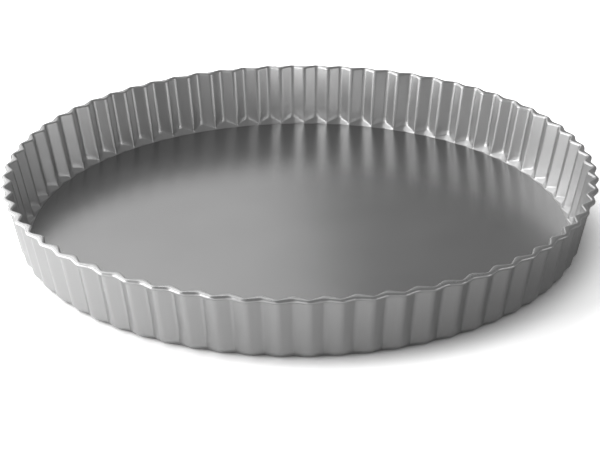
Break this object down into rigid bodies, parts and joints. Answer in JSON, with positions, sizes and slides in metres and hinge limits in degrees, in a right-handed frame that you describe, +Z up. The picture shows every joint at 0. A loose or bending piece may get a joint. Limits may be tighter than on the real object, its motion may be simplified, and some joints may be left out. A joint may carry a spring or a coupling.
{
  "type": "fluted quiche dish",
  "caption": "Round shallow baking dish: a fluted, flared metal ring with a curled lip and a foot ledge, and a loose flat base that lifts out.",
  "frame": {"origin": "middle of the foot, on the plane the dish stands on", "axes": "+Z up along the dish's axis, through the middle of the loose base; +X through a fold between two flutes"},
  "size_m": [0.2798, 0.28, 0.031],
  "materials": {
    "ring_steel": "satin grey non-stick coating on pressed steel",
    "base_steel": "satin grey non-stick coating on flat steel sheet"
  },
  "bodies": {
    "ring": {"fluted_ring": "ring_steel"},
    "base": {"loose_base": "base_steel"}
  },
  "joints": [
    {"name": "base_lift", "type": "slide", "parent": "ring", "child": "base", "axis": [0, 0, 1], "range_m": [0, 0.045]}
  ]
}
